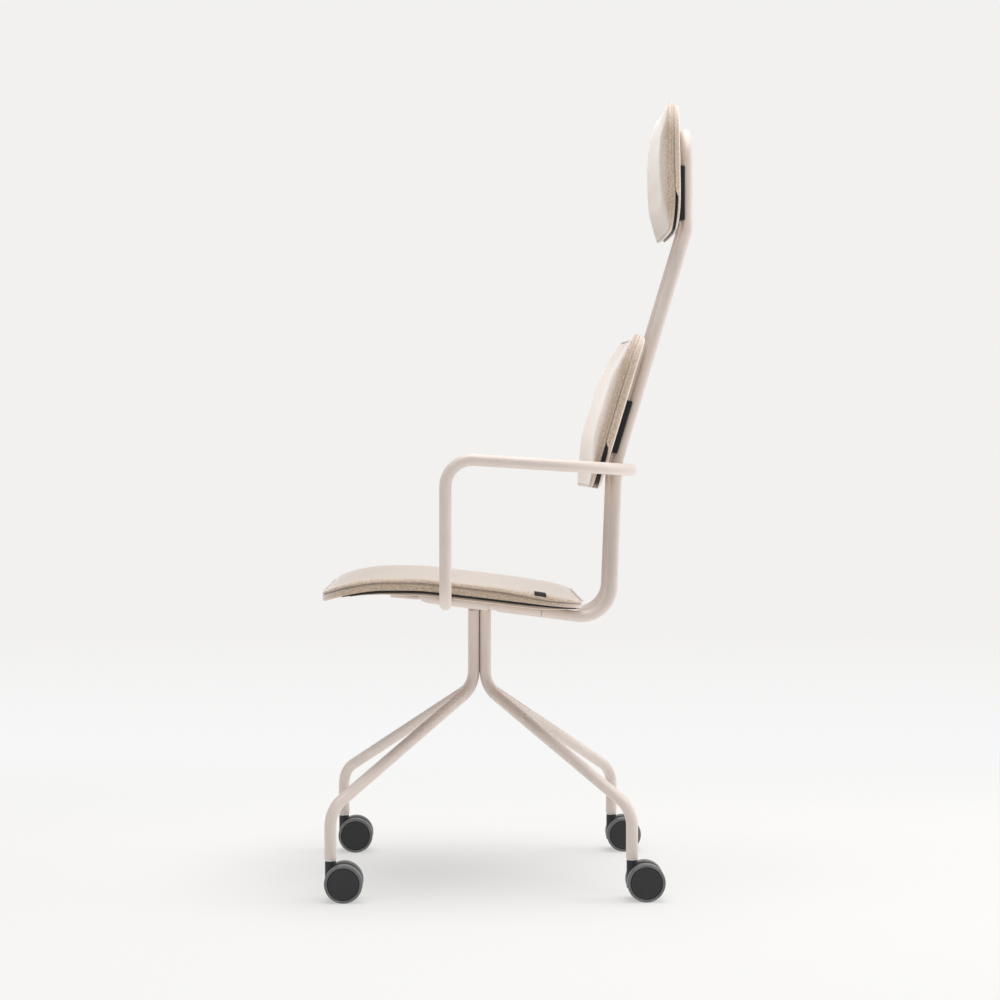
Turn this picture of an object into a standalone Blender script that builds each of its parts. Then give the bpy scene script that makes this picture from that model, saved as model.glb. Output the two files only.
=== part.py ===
# High-back conference chair on a bent-tube swivel base with four twin-wheel casters.
# Metres, +Z up. The chair faces -Y, the sitter's left is +X, and the floor is z = 0.

import math

import bmesh
import bpy
from mathutils import Matrix, Vector

# Driving dimensions
TUBE_D = 0.018
TUBE_SIDES = 4            # bevel resolution that gives a twelve-sided tube
BEND_R = 0.042            # centre-line radius of the small bends
FIT = 0.0003              # gap between neighbours
COLUMN_Y = -0.0461        # column axis, forward of the middle of the whole chair

# Base
LEG_PITCH = 0.0092        # tube centres from the column axis, in X and in Y
COLUMN_TOP = 0.421        # what the column carries is placed up from here
LEG_KNEE_Z = 0.2995
STEM_REACH = 0.2255       # caster stems from the column axis, in X and in Y
LEG_ANKLE_Z = 0.136
LEG_END_Z = 0.0626
CORE_R = 0.0037
CORE_END_Z = 0.322

# Swivel
SPINDLE_R = 0.008
SPINDLE_NECK_R = 0.005
SPINDLE_HEAD_R = 0.0175
SPINDLE_HEAD_H = 0.0044
HUB_R = 0.024
HUB_LIFT = 0.005          # hub above the column top
HUB_H = 0.011
RETAINER_R = 0.014
RETAINER_H = 0.0032

# Casters
WHEEL_R = 0.029
WHEEL_W = 0.016
WHEEL_STEPS = 20
HUB_DISC_R = 0.024
CASTER_TRAIL = 0.020      # wheel axle behind the stem axis
BODY_R = 0.00825          # stem barrel
WEB_R = 0.022
WEB_W = 0.0155
BODY_TOP_Z = 0.0600
BODY_LOW_Z = 0.018
STEM_R = 0.004
STEM_INSERTED = 0.028
STEM_COLLAR_R = 0.0085
AXLE_R = 0.003
AXLE_HALF = 0.019
TREAD_ROUND = 0.002

# Seat carrier: two sloping rails with a plate between them
RAIL_X = 0.064
RAIL_RISE = 0.0125        # rail centre above the column top, at the column axis
RAIL_SLOPE = 0.1268       # fall towards the rear
RAIL_TIP_Y = -0.100
RAIL_HEEL_Y = -0.065      # where the scarfed tip meets the underside
RAIL_END_Y = 0.013
NECK_D = 0.014
NECK_END_Y = 0.027
SEAM_Y = 0.0958           # butt seam between carrier and back frame
PLATE_T = 0.005
PLATE_FRONT_Y = -0.140
PLATE_FRONT_RISE = 0.020
PLATE_BEND_Y = -0.093
PLATE_REAR_Y = 0.050

# Back frame: one hairpin of tube
BACK_R = 0.048            # centre-line radius of the lower rear bend
BACK_CORNER_Y = 0.2044
BACK_CORNER_DROP = 0.0134
LEAN_Y = 0.2136           # bend at arm height, where the back starts to lean
LEAN_RISE = 0.2318
NAPE_Y = 0.3246           # bend behind the neck, where the tubes stand upright again
NAPE_DROP = 0.1535        # below the top of the hairpin
BACK_RISE = 0.7525        # top of the hairpin above the column top
BACK_TOP_X = 0.0455       # the hairpin narrows from the rails to here

# Arm loop: one tube from rail to rail, round behind the back frame
ARM_X = 0.270
ARM_POST_Y = -0.0537
ARM_LOW_RISE = 0.0224
ARM_FRONT_RISE = 0.2406
ARM_FALL = 0.0186         # of the arm bar towards the rear
ARM_REAR_Y = 0.2327
ARM_REAR_R = 0.170
ARM_BEND_R = 0.040

# Seat
SEAT_HALF_W = 0.222
SEAT_FRONT_Y = -0.242
SEAT_REAR_Y = 0.1555
SEAT_CORNER = 0.065
SEAT_RISE = 0.042         # top of the shell, where it is highest, above the column top
SEAT_LEVEL_Y = -0.091
SEAT_FALL = 0.134         # slope of the shell towards the rear
ROLL_Y = -0.141           # from here the front rolls down
FRONT_DROP = 0.0204       # by this much at its edge
REAR_THINNING = 0.42      # of the cushion's height, lost towards its rear edge
REAR_RUN = 0.070
SHELL_T = 0.0036
SHELL_INSET = 0.003
SHELL_FRONT_Y = -0.209
COVER_INSET = 0.008
COVER_FRONT_Y = -0.170
COVER_LEAST = 0.0016
FLAT_INSETS = (0.190, 0.150, 0.110, 0.060, 0.020)    # rings that the three layers share
# Cushion side and crown as (inset, height), with the seam's groove at the fourth point
SEAT_SIDE = (
    (SHELL_INSET, FIT),
    (0.0008, 0.0050),
    (0.0010, 0.0105),
    (0.0032, 0.0130),
    (0.0006, 0.0150),
    (0.0030, 0.0170),
    (0.010, 0.0187),
    (0.026, 0.0201),
    (0.060, 0.0214),
    (0.110, 0.0222),
    (0.150, 0.0226),
    (0.190, 0.0228),
)

# Pads: steps round each corner, along each side and along each end
ARC_STEPS = 4
SIDE_STEPS = 5
END_STEPS = 4
LEAST_CORNER = 0.004

# Back and head pads, each in front of the tubes; heights are measured forward from the tubes
BACK_HALF_W = 0.200
BACK_HALF_L = 0.122
BACK_MIDDLE = 0.0758      # pad middle above the lean bend, along the tubes
BACK_CORNER_R = 0.055
BACK_BOARD_T = 0.0070
BACK_SEAM = 0.0222
BACK_CROWN = 0.0450
BACK_SLOT_TOP = -0.0636   # from the pad middle
HEAD_HALF_W = 0.140
HEAD_HALF_L = 0.1005
HEAD_DROP = 0.0616        # pad middle below the top of the hairpin
HEAD_CORNER_R = 0.050
HEAD_BOARD_T = 0.0042
HEAD_SEAM = 0.0193
HEAD_CROWN = 0.0432
HEAD_SLOT_TOP = -0.051
HEAD_CURL = 0.004         # the lower edge curls towards the neck
HEAD_CURL_RUN = 0.050
HEAD_TIP = 0.020          # slope by which the upper part tips forward
HEAD_TIP_FROM = -0.035    # from the pad middle
PAD_WRAP_R = 2.3          # the pads curve round the sitter
PAD_STAND_OFF = 0.0049    # back of a pad to the front of the tubes
PAD_TAPER_RUN = 0.040     # thinner towards the top, by the share below
PAD_TAPER = 0.15
PAD_ROLL_RUN = 0.045      # the cushion rolls in to its seam along the bottom
REAR_COVER_T = 0.0038
PAD_CORE = 0.012          # half length of the innermost ring
EDGE_INSET = 0.016        # where the flat of a rear cover ends
COVER_SIDE = ((0.005, 0.0006), (0.001, 0.0018))    # inset, height above the cover's back
COVER_BULGE = (0.0003, 0.0008)                     # inset, depth below the tray's floor
RIM_OUTER = 0.0006
RIM_INNER = 0.0034
RIM_BLEND = 0.014         # length over which the rim ends at a slot
TRAY_INSET = 0.0040
# Cushion: a band up to the seam's groove, then the front with its crown
BAND_INSETS = (0.0008, 0.0005, 0.0030)
BAND_SHARES = (0.25, 0.80, 1.0)                          # of the band's height
FRONT_INSETS = (0.0005, 0.0022, 0.008, 0.020, 0.045, 0.078)
FRONT_SHARES = (0.05, 0.15, 0.29, 0.45, 0.675, 0.875)    # of the height above the seam
MOUNT_W = 0.024
MOUNT_L = 0.085
MOUNT_DEPTH = 0.0097
MOUNT_REACH = 0.0004      # forward of the pad's stand-off, to meet its curved back
BACK_MOUNT_RISE = 0.0547  # saddle middles above the bends
HEAD_MOUNT_RISE = 0.0560

# Places that follow from the dimensions
TUBE_R = TUBE_D / 2
AXLE_Z = WHEEL_R * math.cos(math.pi / WHEEL_STEPS)
RAIL_ANGLE = math.atan(RAIL_SLOPE)
HUB_BOTTOM_Z = COLUMN_TOP + HUB_LIFT
HUB_TOP_Z = HUB_BOTTOM_Z + HUB_H
RAIL_Z = COLUMN_TOP + RAIL_RISE
PLATE_FRONT_Z = COLUMN_TOP + PLATE_FRONT_RISE
BACK_TOP_Z = COLUMN_TOP + BACK_RISE
BACK_CORNER = (BACK_CORNER_Y, COLUMN_TOP - BACK_CORNER_DROP)
BACK_LEAN = (LEAN_Y, COLUMN_TOP + LEAN_RISE)
BACK_NAPE = (NAPE_Y, BACK_TOP_Z - NAPE_DROP)
ARM_LOW_Z = COLUMN_TOP + ARM_LOW_RISE
ARM_FRONT_Z = COLUMN_TOP + ARM_FRONT_RISE
ARM_REAR_Z = ARM_FRONT_Z - ARM_FALL
SEAT_LEVEL_Z = COLUMN_TOP + SEAT_RISE
HEAD_MIDDLE_Z = BACK_TOP_Z - HEAD_DROP
BACK_MOUNT_Z = BACK_LEAN[1] + BACK_MOUNT_RISE
HEAD_MOUNT_Z = BACK_NAPE[1] + HEAD_MOUNT_RISE

for old in list(bpy.data.objects):
    bpy.data.objects.remove(old)

parts = bpy.data.collections.new("conference_chair")
cutters = bpy.data.collections.new("cutters")
bpy.context.scene.collection.children.link(parts)
bpy.context.scene.collection.children.link(cutters)


def finish(name, red, green, blue, roughness, metallic=0.0):
    made = bpy.data.materials.new(name)
    made.use_nodes = True
    shader = made.node_tree.nodes["Principled BSDF"]
    shader.inputs["Base Color"].default_value = (red, green, blue, 1)
    shader.inputs["Roughness"].default_value = roughness
    shader.inputs["Metallic"].default_value = metallic
    return made


POWDER_COAT = finish("sand_powder_coat", 0.68, 0.61, 0.56, 0.45)
FABRIC = finish("beige_melange_fabric", 0.68, 0.56, 0.44, 0.9)
BLACK_PLASTIC = finish("black_plastic", 0.02, 0.02, 0.02, 0.5)
WHEEL_PLASTIC = finish("dark_grey_plastic", 0.045, 0.045, 0.046, 0.5)
TREAD_RUBBER = finish("grey_soft_tread", 0.14, 0.145, 0.15, 0.65)
STEEL = finish("plain_steel", 0.55, 0.55, 0.54, 0.35, 1.0)


def pivot(name, place, parent=None):
    made = bpy.data.objects.new(name, None)
    parts.objects.link(made)
    made.location = place
    made.parent = parent
    return made


def add(name, data, material, parent, place=(0, 0, 0), turn=(0, 0, 0)):
    made = bpy.data.objects.new(name, data)
    if not data.materials:
        data.materials.append(material)
    parts.objects.link(made)
    made.parent = parent
    made.location = place
    made.rotation_euler = turn
    return made


def add_mesh(name, bm, material, parent, place=(0, 0, 0), turn=(0, 0, 0)):
    mesh = bpy.data.meshes.new(name)
    bmesh.ops.recalc_face_normals(bm, faces=bm.faces)
    bm.to_mesh(mesh)
    bm.free()
    mesh.shade_smooth()
    mesh.set_sharp_from_angle(angle=math.radians(40))
    return add(name, mesh, material, parent, place, turn)


def cylinder(radius, depth, place=Vector(), along=Vector((0, 0, 1)), sides=16):
    bm = bmesh.new()
    bmesh.ops.create_cone(
        bm, cap_ends=True, segments=sides, radius1=radius, radius2=radius, depth=depth
    )
    turned_to = along.to_track_quat("Z", "Y").to_matrix().to_4x4()
    bmesh.ops.transform(bm, matrix=Matrix.Translation(place) @ turned_to, verts=bm.verts)
    return bm


def cutter(name, bm, parent):
    made = add_mesh(name, bm, STEEL, parent)
    parts.objects.unlink(made)
    cutters.objects.link(made)
    made.hide_render = True
    made.display_type = "WIRE"
    return made


def boolean(target, tool, operation="DIFFERENCE"):
    modifier = target.modifiers.new(tool.name, "BOOLEAN")
    modifier.operation = operation
    modifier.object = tool


# Bake an object's modifiers, or a curve, into a plain closed mesh under the same name
def as_mesh(source):
    name = source.name
    parent = source.parent
    place = source.location.copy()
    turn = source.rotation_euler.copy()
    material = source.data.materials[0]
    bpy.context.view_layer.update()
    graph = bpy.context.evaluated_depsgraph_get()
    mesh = bpy.data.meshes.new_from_object(source.evaluated_get(graph))
    bpy.data.objects.remove(source)
    bm = bmesh.new()
    bm.from_mesh(mesh)
    bmesh.ops.remove_doubles(bm, verts=bm.verts, dist=1e-6)
    return add_mesh(name, bm, material, parent, place, turn)


# Cut away what lies beyond a plane and close the cut
def trim(piece, at, outward):
    bm = bmesh.new()
    bm.from_mesh(piece.data)
    everything = list(bm.verts) + list(bm.edges) + list(bm.faces)
    bmesh.ops.bisect_plane(bm, geom=everything, plane_co=at, plane_no=outward, clear_outer=True)
    bmesh.ops.holes_fill(bm, edges=[edge for edge in bm.edges if edge.is_boundary])
    bmesh.ops.recalc_face_normals(bm, faces=bm.faces)
    bm.to_mesh(piece.data)
    bm.free()


# Points along a bent centre line: each corner is (point, bend radius)
def bent_line(corners, degrees_per_step=16):
    line = [Vector(corners[0][0])]
    for before, (at, radius), after in zip(corners, corners[1:], corners[2:]):
        corner = Vector(at)
        inward = (Vector(before[0]) - corner).normalized()
        outward = (Vector(after[0]) - corner).normalized()
        bend = math.pi - inward.angle(outward)
        reach = radius * math.tan(bend / 2)
        middle = corner + (inward + outward).normalized() * radius / math.cos(bend / 2)
        first = corner + inward * reach - middle
        last = corner + outward * reach - middle
        steps = max(2, math.ceil(math.degrees(bend) / degrees_per_step))
        for step in range(steps + 1):
            share = step / steps
            turned_by = first * math.sin((1 - share) * bend) + last * math.sin(share * bend)
            line.append(middle + turned_by / math.sin(bend))
    line.append(Vector(corners[-1][0]))
    return line


def tube(name, line, material, parent, radii=None):
    curve = bpy.data.curves.new(name, "CURVE")
    curve.dimensions = "3D"
    curve.bevel_depth = TUBE_R
    curve.bevel_resolution = TUBE_SIDES
    curve.use_fill_caps = True
    spline = curve.splines.new("POLY")
    spline.points.add(len(line) - 1)
    for index, point in enumerate(line):
        spline.points[index].co = (*point, 1)
        spline.points[index].radius = radii[index] / TUBE_R if radii else 1
    return add(name, curve, material, parent)


# A turned piece: profile points are (radius, height), down the outer side
def turned(name, profile, steps, material, parent, place=(0, 0, 0), turn=(0, 0, 0), ring=False):
    half = math.pi / steps
    bm = bmesh.new()
    chain = [bm.verts.new((r * math.cos(half), r * math.sin(half), h)) for r, h in profile]
    for start, end in zip(chain, chain[1:]):
        bm.edges.new((start, end))
    if ring:
        bm.edges.new((chain[-1], chain[0]))
    mesh = bpy.data.meshes.new(name)
    bm.to_mesh(mesh)
    bm.free()
    made = add(name, mesh, material, parent, place, turn)
    screw = made.modifiers.new("turned", "SCREW")
    screw.steps = steps
    screw.render_steps = steps
    screw.use_merge_vertices = True
    screw.merge_threshold = 1e-5
    screw.use_smooth_shade = True
    return made


# One rounded rectangle of a pad, walked anticlockwise from its first corner
def pad_ring(half_w, half_l, corner):
    corner = min(corner, half_w, half_l)
    points = []
    for quarter in range(4):
        start = quarter * math.pi / 2
        middle_x = (half_w - corner) * (1 if quarter in (0, 3) else -1)
        middle_y = (half_l - corner) * (1 if quarter in (0, 1) else -1)
        for step in range(ARC_STEPS + 1):
            angle = start + step / ARC_STEPS * math.pi / 2
            points.append((middle_x + corner * math.cos(angle), middle_y + corner * math.sin(angle)))
        straight = END_STEPS if quarter % 2 == 0 else SIDE_STEPS
        reach = 2 * (half_w - corner if quarter % 2 == 0 else half_l - corner)
        last_x, last_y = points[-1]
        for step in range(1, straight):
            gone = step / straight * reach
            points.append((last_x - gone * math.sin(angle), last_y + gone * math.cos(angle)))
    return points


# A pad layer: a closed loft of rounded rectangles, from the middle of its underside to the middle of its top.
# The profile holds (inset, height) pairs; place turns pad coordinates into a point.
def pad(name, half_w, half_l, corner, profile, place, material, parent):
    bm = bmesh.new()
    rings = []
    for inset, height in profile:
        outline = pad_ring(half_w - inset, half_l - inset, max(corner - inset, LEAST_CORNER))
        rings.append([bm.verts.new(place(u, v, height)) for u, v in outline])
    count = len(rings[0])
    for index, (lower, upper) in enumerate(zip(rings, rings[1:])):
        widening = profile[index][0] > profile[index + 1][0]
        for i in range(count):
            k = (i + 1) % count
            # The diagonal runs from the inner ring to the outer, so that layers split alike
            if widening:
                bm.faces.new((lower[i], lower[k], upper[k]))
                bm.faces.new((lower[i], upper[k], upper[i]))
            else:
                bm.faces.new((lower[i], lower[k], upper[i]))
                bm.faces.new((lower[k], upper[k], upper[i]))
    for ring, (_, height) in ((rings[0], profile[0]), (rings[-1], profile[-1])):
        centre = bm.verts.new(place(0, 0, height))
        for i in range(count):
            bm.faces.new((ring[i], ring[(i + 1) % count], centre))
    return add_mesh(name, bm, material, parent)


# Base: four legs side by side as a column, each bent out to its caster
base = pivot("base_frame", (0, COLUMN_Y, 0))
LEG_NAMES = ("rear_left", "rear_right", "front_right", "front_left")
leg_line = bent_line(
    (
        ((LEG_PITCH, LEG_PITCH, COLUMN_TOP), 0),
        ((LEG_PITCH, LEG_PITCH, LEG_KNEE_Z), BEND_R),
        ((STEM_REACH, STEM_REACH, LEG_ANKLE_Z), BEND_R),
        ((STEM_REACH, STEM_REACH, LEG_END_Z), 0),
    )
)
first_leg = as_mesh(tube("leg_" + LEG_NAMES[0], leg_line, POWDER_COAT, base))
stem_bore = cutter(
    "stem_bore",
    cylinder(
        STEM_R + FIT,
        2 * (STEM_INSERTED + FIT),
        Vector((STEM_REACH, STEM_REACH, LEG_END_Z)),
        sides=12,
    ),
    base,
)
boolean(first_leg, stem_bore)
first_leg = as_mesh(first_leg)
for quarter, where in enumerate(LEG_NAMES[1:], 1):
    add("leg_" + where, first_leg.data, POWDER_COAT, base, turn=(0, 0, quarter * math.pi / 2))

turned(
    "column_core",
    ((0, COLUMN_TOP), (CORE_R, COLUMN_TOP), (CORE_R, CORE_END_Z), (0, CORE_END_Z)),
    12,
    BLACK_PLASTIC,
    base,
)
head_low = COLUMN_TOP + FIT
head_high = head_low + SPINDLE_HEAD_H
retainer_low = HUB_TOP_Z + FIT
retainer_high = retainer_low + RETAINER_H
turned(
    "spindle",
    (
        (0, retainer_high),
        (SPINDLE_NECK_R, retainer_high),
        (SPINDLE_NECK_R, HUB_TOP_Z),
        (SPINDLE_R, HUB_TOP_Z),
        (SPINDLE_R, head_high),
        (SPINDLE_HEAD_R, head_high),
        (SPINDLE_HEAD_R, head_low),
        (0, head_low),
    ),
    20,
    POWDER_COAT,
    base,
)
turned(
    "spindle_retainer",
    (
        (RETAINER_R, retainer_high),
        (RETAINER_R, retainer_low),
        (SPINDLE_NECK_R + FIT, retainer_low),
        (SPINDLE_NECK_R + FIT, retainer_high),
    ),
    16,
    STEEL,
    base,
    ring=True,
)


# Casters: a stem and barrel that swivel, and two wheels that spin
def caster_body(name, parent):
    height = BODY_TOP_Z - BODY_LOW_Z
    barrel = cylinder(BODY_R, height, Vector((0, 0, BODY_LOW_Z + height / 2)))
    body = add_mesh(name, barrel, WHEEL_PLASTIC, parent)
    axle_at = Vector((0, CASTER_TRAIL, AXLE_Z))
    across = Vector((1, 0, 0))
    web = cutter("caster_web", cylinder(WEB_R, WEB_W, axle_at, across, sides=20), parent)
    bore = cutter(
        "caster_stem_hole",
        cylinder(STEM_R + FIT, 2 * STEM_INSERTED, Vector((0, 0, BODY_TOP_Z)), sides=12),
        parent,
    )
    axle_bore = cylinder(AXLE_R + FIT, 2 * WEB_W, axle_at, across, sides=12)
    axle_hole = cutter("caster_axle_hole", axle_bore, parent)
    boolean(body, web, "UNION")
    boolean(body, bore)
    boolean(body, axle_hole)
    return as_mesh(body)


stem_profile = (
    (0, LEG_END_Z + STEM_INSERTED),
    (STEM_R, LEG_END_Z + STEM_INSERTED),
    (STEM_R, LEG_END_Z - FIT),
    (STEM_COLLAR_R, LEG_END_Z - FIT),
    (STEM_COLLAR_R, BODY_TOP_Z + FIT),
    (STEM_R, BODY_TOP_Z + FIT),
    (STEM_R, BODY_TOP_Z - STEM_INSERTED + FIT),
    (0, BODY_TOP_Z - STEM_INSERTED + FIT),
)
axle_profile = ((0, AXLE_HALF), (AXLE_R, AXLE_HALF), (AXLE_R, -AXLE_HALF), (0, -AXLE_HALF))
wheel_inner = BODY_R + 2 * FIT
wheel_outer = wheel_inner + WHEEL_W
hub_bore_end = AXLE_HALF + FIT
hub_profile = (
    (0, wheel_outer),
    (HUB_DISC_R - TREAD_ROUND / 2, wheel_outer),
    (HUB_DISC_R, wheel_outer - TREAD_ROUND / 2),
    (HUB_DISC_R, wheel_inner),
    (AXLE_R + FIT, wheel_inner),
    (AXLE_R + FIT, hub_bore_end),
    (0, hub_bore_end),
)
tread_profile = (
    (WHEEL_R - TREAD_ROUND, wheel_outer),
    (WHEEL_R, wheel_outer - TREAD_ROUND),
    (WHEEL_R, wheel_inner + TREAD_ROUND),
    (WHEEL_R - TREAD_ROUND, wheel_inner),
    (HUB_DISC_R + FIT, wheel_inner),
    (HUB_DISC_R + FIT, wheel_outer),
)
SIDES = (("left", 1), ("right", -1))
body_mesh = None
for where in LEG_NAMES:
    ahead, side = where.split("_")
    stem_x = STEM_REACH if side == "left" else -STEM_REACH
    stem_y = STEM_REACH if ahead == "rear" else -STEM_REACH
    caster = pivot("caster_swivel_" + where, (stem_x, stem_y, 0), base)
    turned("caster_stem_" + where, stem_profile, 12, STEEL, caster)
    if body_mesh is None:
        body_mesh = caster_body("caster_body_" + where, caster).data
    else:
        add("caster_body_" + where, body_mesh, WHEEL_PLASTIC, caster)
    axle_at = (0, CASTER_TRAIL, AXLE_Z)
    turned("axle_" + where, axle_profile, 12, STEEL, caster, axle_at, (0, math.pi / 2, 0))
    for wheel_side, sign in SIDES:
        wheel = pivot(f"wheel_spin_{where}_{wheel_side}", axle_at, caster)
        facing = (0, sign * math.pi / 2, 0)
        ending = f"{where}_{wheel_side}"
        hub, tread = "wheel_hub_" + ending, "wheel_tread_" + ending
        turned(hub, hub_profile, WHEEL_STEPS, WHEEL_PLASTIC, wheel, turn=facing)
        turned(tread, tread_profile, WHEEL_STEPS, TREAD_RUBBER, wheel, turn=facing, ring=True)

# Seat carrier, turning on the spindle
seat = pivot("seat_swivel", (0, COLUMN_Y, 0))
turned(
    "bearing_hub",
    (
        (HUB_R, HUB_TOP_Z),
        (HUB_R, HUB_BOTTOM_Z),
        (SPINDLE_R + FIT, HUB_BOTTOM_Z),
        (SPINDLE_R + FIT, HUB_TOP_Z),
    ),
    24,
    POWDER_COAT,
    seat,
    ring=True,
)


def rail_point(side, y, above=0.0):
    return Vector((side * RAIL_X, y, RAIL_Z - RAIL_SLOPE * y + above))


for side_name, side in SIDES:
    ends = (rail_point(side, RAIL_TIP_Y), rail_point(side, RAIL_END_Y))
    rail = as_mesh(tube("carrier_rail_" + side_name, ends, POWDER_COAT, seat))
    heel = rail_point(side, RAIL_HEEL_Y, -TUBE_R)
    tip = rail_point(side, RAIL_TIP_Y, TUBE_R)
    trim(rail, heel, Vector((1, 0, 0)).cross(tip - heel))
    neck_steps = (
        (RAIL_END_Y + FIT, NECK_D / 2),
        (NECK_END_Y, NECK_D / 2),
        (NECK_END_Y + TUBE_R - NECK_D / 2, TUBE_R),
        (SEAM_Y - FIT, TUBE_R),
    )
    tube(
        "rail_coupler_" + side_name,
        [rail_point(side, y) for y, _ in neck_steps],
        POWDER_COAT,
        seat,
        [radius for _, radius in neck_steps],
    )

plate_drop = PLATE_T / 2
plate_outline = (
    (PLATE_FRONT_Y, PLATE_FRONT_Z),
    (PLATE_BEND_Y, RAIL_Z - RAIL_SLOPE * PLATE_BEND_Y - plate_drop),
    (PLATE_REAR_Y, RAIL_Z - RAIL_SLOPE * PLATE_REAR_Y - plate_drop),
    (PLATE_REAR_Y, RAIL_Z - RAIL_SLOPE * PLATE_REAR_Y + plate_drop),
    (PLATE_BEND_Y, RAIL_Z - RAIL_SLOPE * PLATE_BEND_Y + plate_drop),
    (PLATE_FRONT_Y, PLATE_FRONT_Z + PLATE_T),
)
plate_curve = bpy.data.curves.new("carrier_plate", "CURVE")
plate_curve.dimensions = "2D"
plate_curve.fill_mode = "BOTH"
plate_curve.extrude = RAIL_X - TUBE_R - 2 * FIT
edge = plate_curve.splines.new("POLY")
edge.points.add(len(plate_outline) - 1)
edge.use_cyclic_u = True
for point, (y, z) in zip(edge.points, plate_outline):
    point.co = (y, z, 0, 1)
plate = as_mesh(add("carrier_plate", plate_curve, POWDER_COAT, seat, turn=(math.pi / 2, 0, math.pi / 2)))
hub_hole = cutter("hub_hole", cylinder(HUB_R + FIT, 4 * HUB_H, Vector((0, 0, HUB_TOP_Z)), sides=24), seat)
boolean(plate, hub_hole)


# Back frame and arm loop
def back_x(z):
    share = (z - BACK_CORNER[1]) / (BACK_TOP_Z - BACK_CORNER[1])
    return RAIL_X + share * (BACK_TOP_X - RAIL_X)


def back_corner(side, corner):
    y, z = corner
    return Vector((side * back_x(z), y, z))


half_back = (
    (rail_point(1, SEAM_Y + FIT), 0),
    (back_corner(1, BACK_CORNER), BACK_R),
    (back_corner(1, BACK_LEAN), BEND_R),
    (back_corner(1, BACK_NAPE), BEND_R),
    (back_corner(1, (BACK_NAPE[0], BACK_TOP_Z)), BACK_TOP_X * 0.98),
)
mirrored = Vector((-1, 1, 1))
other_back = tuple((point * mirrored, radius) for point, radius in reversed(half_back))
tube("back_frame", bent_line(half_back + other_back), POWDER_COAT, seat)

half_arm = (
    (Vector((RAIL_X + TUBE_R + FIT, ARM_POST_Y, ARM_LOW_Z)), 0),
    (Vector((ARM_X, ARM_POST_Y, ARM_LOW_Z)), ARM_BEND_R),
    (Vector((ARM_X, ARM_POST_Y, ARM_FRONT_Z)), ARM_BEND_R),
    (Vector((ARM_X, ARM_REAR_Y, ARM_REAR_Z)), ARM_REAR_R),
)
other_arm = tuple((point * mirrored, radius) for point, radius in reversed(half_arm))
tube("arm_loop", bent_line(half_arm + other_arm), POWDER_COAT, seat)

# Seat: fabric cushion, black shell and fabric under-cover
seat_middle = (SEAT_FRONT_Y + SEAT_REAR_Y) / 2
seat_half_l = (SEAT_REAR_Y - SEAT_FRONT_Y) / 2


def shell_top(y):
    if y > SEAT_LEVEL_Y:
        return SEAT_LEVEL_Z - SEAT_FALL * (y - SEAT_LEVEL_Y)
    return SEAT_LEVEL_Z - FRONT_DROP * max(0, (ROLL_Y - y) / (ROLL_Y - SEAT_FRONT_Y)) ** 2


# The cushion thins towards its rear edge
def on_seat(u, v, height):
    y = seat_middle + v
    thinner = 1 - REAR_THINNING * max(0, 1 - (SEAT_REAR_Y - y) / REAR_RUN)
    return (u, y, shell_top(y) + (height * thinner if height > FIT else height))


# The under-cover hangs from the shell and rests on the rails: height 1 is its top, 0 its underside
def under_seat(u, v, height):
    y = seat_middle + v
    high = shell_top(y) - SHELL_T - FIT
    rail_top = RAIL_Z - RAIL_SLOPE * y + TUBE_R / math.cos(RAIL_ANGLE)
    low = min(high - COVER_LEAST, rail_top + 2 * FIT)
    return (u, y, low + height * (high - low))


# The three layers share their rings, so that their facets lie parallel
pad(
    "seat_cushion",
    SEAT_HALF_W,
    seat_half_l,
    SEAT_CORNER,
    [(inset, FIT) for inset in FLAT_INSETS] + list(SEAT_SIDE),
    on_seat,
    FABRIC,
    seat,
)
shell_insets = FLAT_INSETS + (SHELL_INSET,)
shell = pad(
    "seat_shell",
    SEAT_HALF_W,
    seat_half_l,
    SEAT_CORNER,
    [(inset, -SHELL_T) for inset in shell_insets] + [(inset, 0) for inset in reversed(shell_insets)],
    on_seat,
    BLACK_PLASTIC,
    seat,
)
trim(shell, (0, SHELL_FRONT_Y, 0), (0, -1, 0))
cover_insets = FLAT_INSETS + (COVER_INSET,)
cover = pad(
    "seat_under_cover",
    SEAT_HALF_W,
    seat_half_l,
    SEAT_CORNER,
    [(inset, 0) for inset in cover_insets] + [(inset, 1) for inset in reversed(cover_insets)],
    under_seat,
    FABRIC,
    seat,
)
trim(cover, (0, COVER_FRONT_Y, 0), (0, -1, 0))
groove = cutter(
    "arm_groove",
    cylinder(TUBE_R + FIT, 2 * ARM_X, Vector((0, ARM_POST_Y, ARM_LOW_Z)), Vector((1, 0, 0)), sides=24),
    seat,
)
boolean(cover, groove)


# Back and head pads
lean = Vector((0, BACK_NAPE[0] - BACK_LEAN[0], BACK_NAPE[1] - BACK_LEAN[1])).normalized()
forward = Vector((1, 0, 0)).cross(lean)
back_origin = Vector((0, *BACK_LEAN)) + forward * TUBE_R + lean * BACK_MIDDLE
nape_front = BACK_NAPE[0] - TUBE_R


# Height in place: wrapped round the sitter, thinner at the top, rolled in along the bottom
def raised(u, v, height, half_l, seam):
    plain = height(v) if callable(height) else height
    beyond = max(0, plain - seam) * min(1, (v + half_l) / PAD_ROLL_RUN)
    thinner = 1 - PAD_TAPER * max(0, 1 - (half_l - v) / PAD_TAPER_RUN)
    return (min(plain, seam) + beyond) * thinner + u * u / (2 * PAD_WRAP_R)


def on_back(u, v, height):
    point = back_origin + lean * v + forward * raised(u, v, height, BACK_HALF_L, BACK_SEAM)
    return (u, point.y, point.z)


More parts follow.
